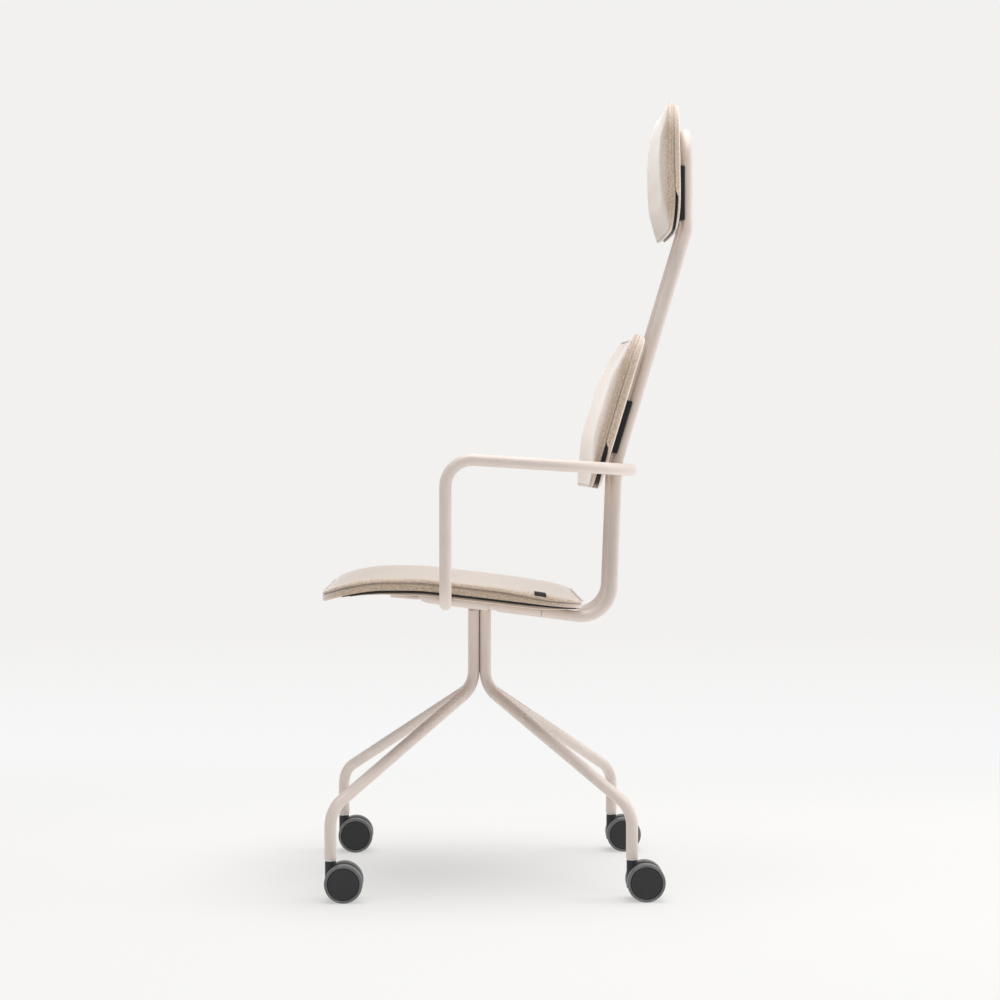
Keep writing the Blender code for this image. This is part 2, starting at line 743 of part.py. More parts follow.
def on_head(u, v, height):
    curl = HEAD_CURL * max(0, 1 - (v + HEAD_HALF_L) / HEAD_CURL_RUN) ** 2
    tip = HEAD_TIP * max(0, v - HEAD_TIP_FROM)
    ahead = raised(u, v, height, HEAD_HALF_L, HEAD_SEAM) + curl + tip
    return (u, nape_front - ahead, HEAD_MIDDLE_Z + v)


# The rear cover is a tray whose rim hides the board, except in the slot low on the pad
def pad_set(name, half_w, half_l, corner, slot_top, board_t, seam, crown, place):
    floor = PAD_STAND_OFF + REAR_COVER_T
    board_low = floor + FIT
    board_high = board_low + board_t
    cushion_low = board_high + FIT
    deepest = half_l - PAD_CORE
    flats = (deepest, deepest / 2)
    bulge_inset, bulge_depth = COVER_BULGE

    def rim(v):
        share = min(1, max(0, (v - slot_top) / RIM_BLEND))
        return floor + share * (board_high - floor)

    pad(
        name + "_rear_cover",
        half_w,
        half_l,
        corner,
        [(inset, PAD_STAND_OFF) for inset in (*flats, EDGE_INSET)]
        + [(inset, PAD_STAND_OFF + height) for inset, height in COVER_SIDE]
        + [(bulge_inset, floor - bulge_depth), (RIM_OUTER, rim), (RIM_INNER, rim)]
        + [(inset, floor) for inset in (TRAY_INSET, *reversed(flats))],
        place,
        FABRIC,
        seat,
    )
    board_insets = (*flats, TRAY_INSET + 2 * FIT)
    pad(
        name + "_shell",
        half_w,
        half_l,
        corner,
        [(inset, board_low) for inset in board_insets]
        + [(inset, board_high) for inset in reversed(board_insets)],
        place,
        BLACK_PLASTIC,
        seat,
    )
    band = seam - cushion_low
    front = crown - seam
    pad(
        name + "_cushion",
        half_w,
        half_l,
        corner,
        [(inset, cushion_low) for inset in (*flats, TRAY_INSET)]
        + [(inset, cushion_low + share * band) for inset, share in zip(BAND_INSETS, BAND_SHARES)]
        + [(inset, seam + share * front) for inset, share in zip(FRONT_INSETS, FRONT_SHARES)]
        + [(deepest, crown)],
        place,
        FABRIC,
        seat,
    )


pad_set(
    "back",
    BACK_HALF_W,
    BACK_HALF_L,
    BACK_CORNER_R,
    BACK_SLOT_TOP,
    BACK_BOARD_T,
    BACK_SEAM,
    BACK_CROWN,
    on_back,
)
pad_set(
    "head",
    HEAD_HALF_W,
    HEAD_HALF_L,
    HEAD_CORNER_R,
    HEAD_SLOT_TOP,
    HEAD_BOARD_T,
    HEAD_SEAM,
    HEAD_CROWN,
    on_head,
)


# Saddles that hold each pad on the two tubes
def saddle(name, side, low, high, z):
    start = back_corner(side, low)
    along = back_corner(side, high) - start
    middle = start + along * ((z - start.z) / along.z)
    along.normalize()
    across = (Vector((1, 0, 0)) - along * along.x).normalized()
    behind = along.cross(across)
    turn = Matrix((across, behind, along)).transposed().to_euler()
    bm = bmesh.new()
    bmesh.ops.create_cube(bm, size=1)
    bmesh.ops.scale(bm, vec=(MOUNT_W, MOUNT_DEPTH, MOUNT_L), verts=bm.verts)
    front = TUBE_R + PAD_STAND_OFF + MOUNT_REACH - FIT
    bmesh.ops.translate(bm, vec=(0, MOUNT_DEPTH / 2 - front, 0), verts=bm.verts)
    made = add_mesh(name, bm, BLACK_PLASTIC, seat, middle, turn)
    hole = cutter(name + "_tube", cylinder(TUBE_R + FIT, 2 * MOUNT_L), seat)
    hole.location = middle
    hole.rotation_euler = turn
    boolean(made, hole)


for side_name, side in SIDES:
    saddle("back_mount_" + side_name, side, BACK_LEAN, BACK_NAPE, BACK_MOUNT_Z)
    saddle("head_mount_" + side_name, side, BACK_NAPE, (BACK_NAPE[0], BACK_TOP_Z), HEAD_MOUNT_Z)
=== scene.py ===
# Conference chair: the looks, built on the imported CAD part.
# Metres, +Z up; the chair faces -Y and the camera stands on +X.
import math

import bmesh
import bpy
from mathutils import Matrix, Vector
from mathutils.bvhtree import BVHTree


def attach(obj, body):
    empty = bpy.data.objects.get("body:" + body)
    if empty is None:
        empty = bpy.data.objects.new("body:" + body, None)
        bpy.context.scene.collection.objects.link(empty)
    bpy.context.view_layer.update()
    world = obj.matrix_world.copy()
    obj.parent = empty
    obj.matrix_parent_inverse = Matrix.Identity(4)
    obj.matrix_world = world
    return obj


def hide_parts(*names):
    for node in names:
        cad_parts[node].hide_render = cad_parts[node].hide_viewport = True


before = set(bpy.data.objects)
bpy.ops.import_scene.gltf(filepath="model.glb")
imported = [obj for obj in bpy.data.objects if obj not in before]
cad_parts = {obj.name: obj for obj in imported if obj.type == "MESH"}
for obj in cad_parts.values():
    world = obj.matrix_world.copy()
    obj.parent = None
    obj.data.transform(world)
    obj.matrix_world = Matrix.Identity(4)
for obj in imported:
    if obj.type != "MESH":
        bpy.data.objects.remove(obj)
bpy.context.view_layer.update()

scene = bpy.context.scene
wheres = ("rear_left", "rear_right", "front_right", "front_left")
sides = (("left", 1), ("right", -1))
fit = 0.0003             # gap between neighbours, as in the CAD part
columnY = -0.0461        # the column axis; lengths below named Y are measured from it
tubeR = 0.009


# Colours

def linear(code):
    values = [int(code[i:i + 2], 16) / 255 for i in (0, 2, 4)]
    return [v / 12.92 if v <= 0.04045 else ((v + 0.055) / 1.055) ** 2.4 for v in values] + [1.0]


# Add a node: settings go to its inputs or, failing that, its properties; links join sockets to its inputs
def addNode(tree, kind, settings, links=()):
    made = tree.nodes.new(kind)
    for key, value in settings.items():
        if isinstance(key, int) or key in made.inputs:
            made.inputs[key].default_value = value
        else:
            setattr(made, key, value)
    for key, socket in dict(links).items():
        tree.links.new(socket, made.inputs[key])
    return made


def newMaterial(name):
    made = bpy.data.materials.new(name)
    made.use_nodes = True
    tree = made.node_tree
    return made, tree, tree.nodes["Principled BSDF"]


# Blend of two colours by a factor socket
def colourMix(tree, factor, first, second):
    mix = addNode(tree, "ShaderNodeMix", {"data_type": "RGBA"}, {0: factor})
    for index, colour in ((6, first), (7, second)):
        if isinstance(colour, bpy.types.NodeSocket):
            tree.links.new(colour, mix.inputs[index])
        else:
            mix.inputs[index].default_value = colour
    return mix.outputs[2]


def ramp(tree, factor, low, high, toLow=0.0, toHigh=1.0):
    made = addNode(tree, "ShaderNodeMapRange", {1: low, 2: high, 3: toLow, 4: toHigh}, {0: factor})
    return made.outputs[0]


def noise(tree, coords, size, detail=2.0, stretch=(1, 1, 1)):
    mapped = addNode(tree, "ShaderNodeMapping", {"Scale": stretch}, {"Vector": coords})
    made = addNode(
        tree, "ShaderNodeTexNoise", {"Scale": 1 / size, "Detail": detail}, {"Vector": mapped.outputs[0]}
    )
    return made.outputs["Fac"]


def bump(tree, shader, height, strength, distance):
    made = addNode(
        tree, "ShaderNodeBump", {"Strength": strength, "Distance": distance}, {"Height": height}
    )
    tree.links.new(made.outputs[0], shader.inputs["Normal"])


def objectCoords(tree):
    return addNode(tree, "ShaderNodeTexCoord", {}).outputs["Object"]


# Pad coordinates, which padLayer and laid keep on the mesh
def clothCoords(tree):
    return addNode(tree, "ShaderNodeAttribute", {"attribute_name": "cloth"}).outputs["Vector"]


# Bands a length apart; at scale 1 a wave texture repeats every tau / 20
def bands(tree, coords, direction, spacing, settings):
    asked = {"bands_direction": direction, "Scale": math.tau / 20 / spacing, **settings}
    made = addNode(tree, "ShaderNodeTexWave", asked, {"Vector": coords})
    return made.outputs["Fac"]


def calculated(tree, operation, first, second):
    made = addNode(tree, "ShaderNodeMath", {"operation": operation}, {0: first, 1: second})
    return made.outputs[0]


def dress(tree, shader, colour, rough):
    tree.links.new(colour, shader.inputs["Base Color"])
    tree.links.new(rough, shader.inputs["Roughness"])


# Sand powder coat: satin, with the fine orange peel of a sprayed and baked finish.
# The real peel is about 0.8 mm across, drawn at 1.6 mm so that it shows.
def makePowderCoat():
    made, tree, shader = newMaterial("sand_powder_coat")
    coords = objectCoords(tree)
    cloud = noise(tree, coords, 0.05)
    peel = noise(tree, coords, 0.0016, 1.0)
    colour = colourMix(tree, ramp(tree, cloud, 0.3, 0.7), linear("D5C9C1"), linear("D1C4BC"))
    dress(tree, shader, colour, ramp(tree, peel, 0.3, 0.7, 0.36, 0.46))
    bump(tree, shader, peel, 0.015, 0.0002)
    return made


# Beige melange upholstery: a plain weave of mottled wool yarns with a soft nap.
# The real yarns are about 0.9 mm, drawn at 1.4 mm; the slubs of colour are 3 mm long.
def makeFabric(name, light, middle, dark):
    made, tree, shader = newMaterial(name)
    coords = clothCoords(tree)
    yarn = 0.0014
    fleck = 0.0020
    loose = {"Distortion": 1.2, "Detail": 2.0, "Detail Scale": 2.0}
    yarns = [bands(tree, coords, direction, yarn, loose) for direction in ("X", "Y")]
    weave = calculated(tree, "MULTIPLY", *yarns)
    warp = noise(tree, coords, fleck, 1.0, (1, 0.5, 1))
    weft = noise(tree, coords, fleck, 1.0, (0.5, 1, 1))
    slub = noise(tree, coords, 0.003, 2.0)
    drift = noise(tree, coords, 0.06, 2.0)
    crossed = calculated(tree, "MULTIPLY", warp, weft)
    base = colourMix(tree, ramp(tree, slub, 0.3, 0.7), linear(middle), linear(light))
    flecked = colourMix(tree, ramp(tree, crossed, 0.17, 0.31, 0.60, 0.0), base, linear(dark))
    # Painted shade: the colour darkens toward the dark yarn in the gaps between the yarns of the weave
    shaded = colourMix(tree, ramp(tree, weave, 0.0, 0.5, 0.16, 0.0), flecked, linear(dark))
    worn = colourMix(tree, ramp(tree, drift, 0.4, 0.7, 0.0, 0.10), shaded, linear(light))
    dress(tree, shader, worn, ramp(tree, slub, 0.3, 0.7, 0.84, 0.96))
    shader.inputs["Specular IOR Level"].default_value = 0.2
    shader.inputs["Sheen Weight"].default_value = 1.0
    shader.inputs["Sheen Roughness"].default_value = 0.60
    shader.inputs["Sheen Tint"].default_value = linear("FEFCFB")
    bump(tree, shader, calculated(tree, "ADD", weave, crossed), 0.30, 0.0005)
    return made


# Moulded plastic with a spark-eroded grain of about 0.6 mm, drawn at 1.2 mm, and rubbed high spots
def makePlastic(name, colour, rubbed, rough):
    made, tree, shader = newMaterial(name)
    coords = objectCoords(tree)
    grain = noise(tree, coords, 0.0012, 2.0)
    scuff = noise(tree, coords, 0.02, 4.0)
    mixed = colourMix(tree, ramp(tree, scuff, 0.55, 0.75, 0.0, 0.35), linear(colour), linear(rubbed))
    dress(tree, shader, mixed, ramp(tree, scuff, 0.3, 0.7, rough - 0.06, rough + 0.06))
    shader.inputs["Specular IOR Level"].default_value = 0.3
    bump(tree, shader, grain, 0.15, 0.0002)
    return made


# Soft grey tread: cast polyurethane, dull, with a little floor dust in a mottle of 8 mm
def makeTread():
    made, tree, shader = newMaterial("grey_polyurethane_tread")
    coords = objectCoords(tree)
    dust = noise(tree, coords, 0.008, 4.0)
    grain = noise(tree, coords, 0.0012, 1.0)
    colour = colourMix(tree, ramp(tree, dust, 0.45, 0.75), linear("5E5F60"), linear("706F6D"))
    dress(tree, shader, colour, ramp(tree, dust, 0.3, 0.7, 0.50, 0.62))
    bump(tree, shader, grain, 0.12, 0.0002)
    return made


# Zinc-plated steel with turning marks about 0.7 mm apart
def makeSteel():
    made, tree, shader = newMaterial("zinc_plated_steel")
    coords = objectCoords(tree)
    marks = bands(tree, coords, "Z", 0.0007, {"Distortion": 1.0})
    bloom = noise(tree, coords, 0.006, 3.0)
    colour = colourMix(tree, bloom, linear("D9D8D4"), linear("BFBEBC"))
    dress(tree, shader, colour, ramp(tree, bloom, 0.3, 0.7, 0.28, 0.42))
    shader.inputs["Metallic"].default_value = 1.0
    bump(tree, shader, marks, 0.08, 0.0001)
    return made


# Woven black ribbon, ribs 0.8 mm apart, for the blank tag
def makeRibbon():
    made, tree, shader = newMaterial("black_woven_ribbon")
    ribs = bands(tree, clothCoords(tree), "Y", 0.0008, {"Distortion": 0.4})
    colour = colourMix(tree, ribs, linear("101011"), linear("1D1D1E"))
    tree.links.new(colour, shader.inputs["Base Color"])
    shader.inputs["Roughness"].default_value = 0.7
    shader.inputs["Specular IOR Level"].default_value = 0.2
    bump(tree, shader, ribs, 0.4, 0.0003)
    return made


powderCoat = makePowderCoat()
fabric = makeFabric("beige_melange_wool", "D1BCA7", "C1AB95", "8D7762")
# Dark brown thread for the seat's seam: its darkness is painted shade for the seam's groove
seamShadeThread = makeFabric("seam_thread_painted_shade", "8F7A66", "7D6958", "5E4E40")
blackPlastic = makePlastic("black_moulded_plastic", "121213", "222223", 0.50)
hubPlastic = makePlastic("dark_grey_moulded_plastic", "2A2A2B", "3A3A3B", 0.52)
tread = makeTread()
steel = makeSteel()
ribbon = makeRibbon()
print("materials made")


# Modelling

def addPiece(name, bm, material, body, nodes=(), sharp=40):
    bmesh.ops.recalc_face_normals(bm, faces=bm.faces)
    mesh = bpy.data.meshes.new(name)
    bm.to_mesh(mesh)
    bm.free()
    mesh.shade_smooth()
    mesh.set_sharp_from_angle(angle=math.radians(sharp))
    mesh.materials.append(material)
    piece = bpy.data.objects.new(name, mesh)
    scene.collection.objects.link(piece)
    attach(piece, body)
    if nodes:
        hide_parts(*nodes)
    return piece


# The evaluated mesh of a scratch object, as a bmesh; the object goes
def evaluated(source):
    bpy.context.view_layer.update()
    graph = bpy.context.evaluated_depsgraph_get()
    mesh = bpy.data.meshes.new_from_object(source.evaluated_get(graph))
    bm = bmesh.new()
    bm.from_mesh(mesh)
    bpy.data.objects.remove(source)
    bpy.data.meshes.remove(mesh)
    return bm


def scratch(name, data):
    made = bpy.data.objects.new(name, data)
    scene.collection.objects.link(made)
    return made


def scratchMesh(name, bm):
    mesh = bpy.data.meshes.new(name)
    bm.to_mesh(mesh)
    bm.free()
    return scratch(name, mesh)


# Points along a bent centre line: each corner is (point, bend radius)
def bentLine(corners, degreesPerStep=4):
    line = [Vector(corners[0][0])]
    for before, (at, radius), after in zip(corners, corners[1:], corners[2:]):
        corner = Vector(at)
        if not radius:
            line.append(corner)
            continue
        inward = (Vector(before[0]) - corner).normalized()
        outward = (Vector(after[0]) - corner).normalized()
        bend = math.pi - inward.angle(outward)
        reach = radius * math.tan(bend / 2)
        middle = corner + (inward + outward).normalized() * radius / math.cos(bend / 2)
        first = corner + inward * reach - middle
        last = corner + outward * reach - middle
        steps = max(2, math.ceil(math.degrees(bend) / degreesPerStep))
        for step in range(steps + 1):
            share = step / steps
            turned = first * math.sin((1 - share) * bend) + last * math.sin(share * bend)
            line.append(middle + turned / math.sin(bend))
    line.append(Vector(corners[-1][0]))
    return line


def tubeMesh(line, radius, radii=None, closed=False, resolution=14):
    curve = bpy.data.curves.new("line", "CURVE")
    curve.dimensions = "3D"
    curve.bevel_depth = radius
    curve.bevel_resolution = resolution
    curve.use_fill_caps = not closed
    spline = curve.splines.new("POLY")
    spline.points.add(len(line) - 1)
    spline.use_cyclic_u = closed
    for index, point in enumerate(line):
        spline.points[index].co = (*point, 1)
        spline.points[index].radius = radii[index] / radius if radii else 1
    bm = evaluated(scratch("line", curve))
    bmesh.ops.remove_doubles(bm, verts=bm.verts, dist=1e-6)
    return bm


# A tube with its two cut ends eased by 0.6 mm
def easedTube(line, radius):
    ease = 0.0006
    startIn = line[0] + (line[1] - line[0]).normalized() * ease
    endIn = line[-1] + (line[-2] - line[-1]).normalized() * ease
    eased = [line[0], startIn] + line[1:-1] + [endIn, line[-1]]
    radii = [radius - ease] + [radius] * (len(eased) - 2) + [radius - ease]
    return tubeMesh(eased, radius, radii)


# A turned piece from corners ((radius, height), fillet), spun about +Z
def turnedMesh(corners, steps=64, ring=False):
    bm = bmesh.new()
    line = bentLine([((r, 0, h), fillet) for (r, h), fillet in corners], 15)
    chain = [bm.verts.new(point) for point in line]
    edges = [bm.edges.new(pair) for pair in zip(chain, chain[1:])]
    if ring:
        edges.append(bm.edges.new((chain[-1], chain[0])))
    bmesh.ops.spin(
        bm, geom=chain + edges, cent=(0, 0, 0), axis=(0, 0, 1), angle=math.tau, steps=steps, use_merge=True
    )
    bmesh.ops.remove_doubles(bm, verts=bm.verts, dist=1e-6)
    return bm


def moved(bm, place, turn=Matrix()):
    matrix = Matrix.Translation(place) @ turn.to_4x4()
    bmesh.ops.transform(bm, matrix=matrix, verts=bm.verts)
    return bm


def cut(bm, tool, operation="DIFFERENCE"):
    for solid in (bm, tool):
        bmesh.ops.triangulate(solid, faces=solid.faces)
        bmesh.ops.recalc_face_normals(solid, faces=solid.faces)
    target = scratchMesh("target", bm)
    cutter = scratchMesh("cutter", tool)
    modifier = target.modifiers.new("cut", "BOOLEAN")
    modifier.operation = operation
    modifier.object = cutter
    made = evaluated(target)
    bpy.data.objects.remove(cutter)
    return made


# Cut away what lies beyond a plane and close the cut
def trim(bm, at, outward):
    everything = list(bm.verts) + list(bm.edges) + list(bm.faces)
    bmesh.ops.bisect_plane(bm, geom=everything, plane_co=at, plane_no=outward, clear_outer=True)
    bmesh.ops.holes_fill(bm, edges=[edge for edge in bm.edges if edge.is_boundary])


# Straight-line reading of a table of (at, value)
def reading(table, at):
    for (x0, y0), (x1, y1) in zip(table, table[1:]):
        if at <= x1:
            return y0 + (y1 - y0) * max(0.0, (at - x0) / (x1 - x0))
    return table[-1][1]


# Base

leg = {
    "pitch": 0.0092,
    "columnTop": 0.421,
    "kneeZ": 0.2995,
    "reach": 0.2255,
    "ankleZ": 0.136,
    "endZ": 0.0626,
    "bendR": 0.042,
}
for quarter, where in enumerate(wheres):
    line = bentLine(
        (
            ((leg["pitch"], leg["pitch"], leg["columnTop"]), 0),
            ((leg["pitch"], leg["pitch"], leg["kneeZ"]), leg["bendR"]),
            ((leg["reach"], leg["reach"], leg["ankleZ"]), leg["bendR"]),
            ((leg["reach"], leg["reach"], leg["endZ"]), 0),
        )
    )
    turn = Matrix.Rotation(quarter * math.pi / 2, 3, "Z")
    bm = moved(easedTube(line, tubeR), (0, columnY, 0), turn)
    addPiece("tube_leg_" + where, bm, powderCoat, "base", ["leg_" + where])

swivel = {
    "headLow": 0.4213,
    "headHigh": 0.4257,
    "headR": 0.0175,
    "spindleR": 0.008,
    "neckR": 0.005,
    "hubR": 0.024,
    "hubLow": 0.4260,
    "hubHigh": 0.4370,
    "neckTop": 0.4405,
}
bm = turnedMesh(
    (
        ((0, swivel["neckTop"]), 0),
        ((swivel["neckR"], swivel["neckTop"]), 0.0006),
        ((swivel["neckR"], swivel["hubHigh"]), 0),
        ((swivel["spindleR"], swivel["hubHigh"]), 0.0004),
        ((swivel["spindleR"], swivel["headHigh"]), 0.0003),
        ((swivel["headR"], swivel["headHigh"]), 0.0006),
        ((swivel["headR"], swivel["headLow"]), 0.0006),
        ((0, swivel["headLow"]), 0),
    )
)
addPiece("turned_spindle", moved(bm, (0, columnY, 0)), powderCoat, "base", ["spindle"])
bm = turnedMesh(
    (
        ((swivel["spindleR"] + fit, swivel["hubHigh"]), 0),
        ((swivel["hubR"], swivel["hubHigh"]), 0.0012),
        ((swivel["hubR"], swivel["hubLow"]), 0.0008),
        ((swivel["spindleR"] + fit, swivel["hubLow"]), 0),
    ),
    ring=True,
)
addPiece("turned_bearing_hub", moved(bm, (0, columnY, 0)), powderCoat, "seat", ["bearing_hub"])

carried = {
    "column_core": blackPlastic,
    "spindle_retainer": steel,
    **{"axle_" + where: steel for where in wheres},
}
for node, material in carried.items():
    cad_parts[node].material_slots[0].material = material
print("base made")


# Casters

caster = {
    "wheelR": 0.02864,       # to the flats of the CAD wheel, so that it stands on the floor
    "axleZ": 0.028643,
    "trail": 0.020,
    "hubR": 0.024,
    "inner": 0.00885,        # wheel faces from the caster's middle
    "outer": 0.02485,
    "boreR": 0.0033,
    "boreEnd": 0.0193,
    "barrelR": 0.00825,
    "barrelLow": 0.018,
    "barrelTop": 0.0600,
    "webR": 0.022,
    "webHalf": 0.00775,
    "stemR": 0.004,
    "collarR": 0.0085,
    "collarLow": 0.0603,
    "collarTop": 0.0623,
    "stemIn": 0.028,
}


# Hub: a dished cap inside a raised lip, with a plain boss
def hubMesh():
    r, low, high = caster["hubR"], caster["inner"], caster["outer"]
    return turnedMesh(
        (
            ((0, high - 0.0005), 0),
            ((r - 0.0042, high - 0.0010), 0.002),
            ((r - 0.0034, high - 0.0003), 0.0005),
            ((r - 0.0008, high - 0.0002), 0.0004),
            ((r, high - 0.0012), 0.0003),
            ((r, low), 0.0004),
            ((caster["boreR"], low), 0),
            ((caster["boreR"], caster["boreEnd"]), 0),
            ((0, caster["boreEnd"]), 0),
        )
    )


def treadMesh():
    r, low, high = caster["wheelR"], caster["inner"], caster["outer"]
    return turnedMesh(
        (
            ((caster["hubR"] + fit, high), 0),
            ((r, high), 0.0026),
            ((r, low), 0.0022),
            ((caster["hubR"] + fit, low), 0),
        ),
        96,
        ring=True,
    )


# Body: a barrel for the stem joined to the round web between the wheels
def casterBodyMesh():
    barrel = turnedMesh(
        (
            ((0, caster["barrelTop"]), 0),
            ((caster["barrelR"], caster["barrelTop"]), 0.0012),
            ((caster["barrelR"], caster["barrelLow"]), 0.002),
            ((0, caster["barrelLow"]), 0),
        ),
        48,
    )
    web = turnedMesh(
        (
            ((0, caster["webHalf"]), 0),
            ((caster["webR"], caster["webHalf"]), 0.0015),
            ((caster["webR"], -caster["webHalf"]), 0.0015),
            ((0, -caster["webHalf"]), 0),
        ),
        64,
    )
    moved(web, (0, caster["trail"], caster["axleZ"]), Matrix.Rotation(math.pi / 2, 3, "Y"))
    return cut(barrel, web, "UNION")


for where in wheres:
    ahead, side = where.split("_")
    stemX = leg["reach"] if side == "left" else -leg["reach"]
    stemY = columnY + (leg["reach"] if ahead == "rear" else -leg["reach"])
    body = "caster_" + where
    stem = turnedMesh(
        (
            ((0, caster["collarTop"] + caster["stemIn"]), 0),
            ((caster["stemR"], caster["collarTop"] + caster["stemIn"]), 0.001),
            ((caster["stemR"], caster["collarTop"]), 0),
            ((caster["collarR"], caster["collarTop"]), 0.0005),
            ((caster["collarR"], caster["collarLow"]), 0.0005),
            ((0, caster["collarLow"]), 0),
        ),
        48,
    )
    addPiece(
        "caster_pin_" + where, moved(stem, (stemX, stemY, 0)), steel, body, ["caster_stem_" + where]
    )
    addPiece(
        "caster_housing_" + where,
        moved(casterBodyMesh(), (stemX, stemY, 0)),
        hubPlastic,
        body,
        ["caster_body_" + where],
    )
    for wheelSide, sign in sides:
        ending = f"{where}_{wheelSide}"
        at = (stemX, stemY + caster["trail"], caster["axleZ"])
        turn = Matrix.Rotation(sign * math.pi / 2, 3, "Y")
        wheel = "wheel_" + ending
        addPiece(
            "hub_cap_" + ending, moved(hubMesh(), at, turn), hubPlastic, wheel,
            ["wheel_hub_" + ending],
        )
        addPiece(
            "soft_tread_" + ending, moved(treadMesh(), at, turn), tread, wheel,
            ["wheel_tread_" + ending],
        )
print("casters made")


# Seat carrier

rail = {
    "x": 0.064,
    "z": 0.4335,
    "slope": 0.1268,
    "endY": 0.013,
    "neckR": 0.007,
    "neckEndY": 0.027,
    "seamY": 0.0958,
}
railAngle = math.atan(rail["slope"])
# Rounded front end of a rail, from its underside up: (y, height above the underside)
railNose = ((-0.077, 0.0), (-0.086, 0.0010), (-0.092, 0.0036), (-0.0962, 0.0085), (-0.0975, 0.0180))


def railPoint(side, y, above=0.0):
    return Vector((side * rail["x"], columnY + y, rail["z"] - rail["slope"] * y + above))


for sideName, side in sides:
    bm = easedTube([railPoint(side, railNose[-1][0]), railPoint(side, rail["endY"])], tubeR)
    for (heelY, heelUp), (tipY, tipUp) in zip(railNose, railNose[1:]):
        heel = railPoint(side, heelY, heelUp - tubeR)
        trim(bm, heel, Vector((1, 0, 0)).cross(railPoint(side, tipY, tipUp - tubeR) - heel))
    addPiece("tube_rail_" + sideName, bm, powderCoat, "seat", ["carrier_rail_" + sideName])
    length = (rail["seamY"] - rail["endY"] - 2 * fit) / math.cos(railAngle)
    neck = (rail["neckEndY"] - rail["endY"]) / math.cos(railAngle)
    bm = turnedMesh(
        (
            ((0, length), 0),
            ((tubeR, length), 0.0005),
            ((tubeR, neck + tubeR - rail["neckR"]), 0.002),
            ((rail["neckR"], neck), 0.001),
            ((rail["neckR"], 0), 0),
            ((0, 0), 0),
        ),
        48,
    )
    along = railPoint(side, rail["seamY"]) - railPoint(side, rail["endY"])
    turn = along.to_track_quat("Z", "Y").to_matrix()
    moved(bm, railPoint(side, rail["endY"] + fit), turn)
    addPiece("turned_coupler_" + sideName, bm, powderCoat, "seat", ["rail_coupler_" + sideName])

plate = {
    "thick": 0.005,
    "front": (-0.140, 0.4436),
    "step": (-0.098, 0.4400),
    "bendY": -0.086,
    "rearY": 0.050,
    "halfW": 0.0544,
    "edge": 0.0012,
    "holeLow": 0.41,
    "holeTop": 0.46,
}
bm = bmesh.new()
low = plate["thick"] / 2
outline = [plate["front"], plate["step"]]
outline += [(y, rail["z"] - rail["slope"] * y - low) for y in (plate["bendY"], plate["rearY"])]
outline += [(y, rail["z"] - rail["slope"] * y + low) for y in (plate["rearY"], plate["bendY"])]
outline += [(y, z + plate["thick"]) for y, z in (plate["step"], plate["front"])]
face = bm.faces.new([bm.verts.new((-plate["halfW"], columnY + y, z)) for y, z in outline])
grown = bmesh.ops.extrude_face_region(bm, geom=[face])["geom"]
bmesh.ops.translate(
    bm, vec=(2 * plate["halfW"], 0, 0), verts=[g for g in grown if isinstance(g, bmesh.types.BMVert)]
)
bmesh.ops.recalc_face_normals(bm, faces=bm.faces)
bmesh.ops.bevel(
    bm, geom=list(bm.edges), offset=plate["edge"], segments=2, profile=0.5, affect="EDGES", material=-1
)
holeR = swivel["hubR"] + fit
hole = turnedMesh(
    (
        ((0, plate["holeTop"]), 0),
        ((holeR, plate["holeTop"]), 0),
        ((holeR, plate["holeLow"]), 0),
        ((0, plate["holeLow"]), 0),
    )
)
bm = cut(bm, moved(hole, (0, columnY, 0)))
addPiece("folded_plate", bm, powderCoat, "seat", ["carrier_plate"])

back = {
    "cornerR": 0.048,
    "corner": (0.2044, 0.4076),
    "lean": (0.2136, 0.6528),
    "nape": (0.3246, 1.0200),
    "topZ": 1.1735,
    "topX": 0.0455,
    "topBend": 0.98,         # share of the half width that the top bends take
}


def backX(z):
    share = (z - back["corner"][1]) / (back["topZ"] - back["corner"][1])
    return rail["x"] + share * (back["topX"] - rail["x"])


def backPoint(side, y, z):
    return Vector((side * backX(z), columnY + y, z))


mirrored = Vector((-1, 1, 1))


# A tube line given for the +X half, ending at its middle
def bothHalves(half):
    return bentLine(half + tuple((point * mirrored, radius) for point, radius in reversed(half)))


line = bothHalves(
    (
        (railPoint(1, rail["seamY"] + fit), 0),
        (backPoint(1, *back["corner"]), back["cornerR"]),
        (backPoint(1, *back["lean"]), leg["bendR"]),
        (backPoint(1, *back["nape"]), leg["bendR"]),
        (backPoint(1, back["nape"][0], back["topZ"]), back["topX"] * back["topBend"]),
    )
)
addPiece("tube_back_frame", easedTube(line, tubeR), powderCoat, "seat", ["back_frame"])

arm = {
    "x": 0.270,
    "postY": -0.0537,
    "lowZ": 0.4434,
    "frontZ": 0.6616,
    "rearZ": 0.6430,
    "rearY": 0.2327,
    "rearR": 0.170,
    "bendR": 0.040,
}
line = bothHalves(
    (
        (Vector((rail["x"] + tubeR + fit, columnY + arm["postY"], arm["lowZ"])), 0),
        (Vector((arm["x"], columnY + arm["postY"], arm["lowZ"])), arm["bendR"]),
        (Vector((arm["x"], columnY + arm["postY"], arm["frontZ"])), arm["bendR"]),
        (Vector((arm["x"], columnY + arm["rearY"], arm["rearZ"])), arm["rearR"]),
    )
)
addPiece("tube_arm_loop", easedTube(line, tubeR), powderCoat, "seat", ["arm_loop"])
print("frame tubes made")


# Pads

waist = 0.0015               # by which a pad's sides are drawn in between its corners
leastCorner = 0.004


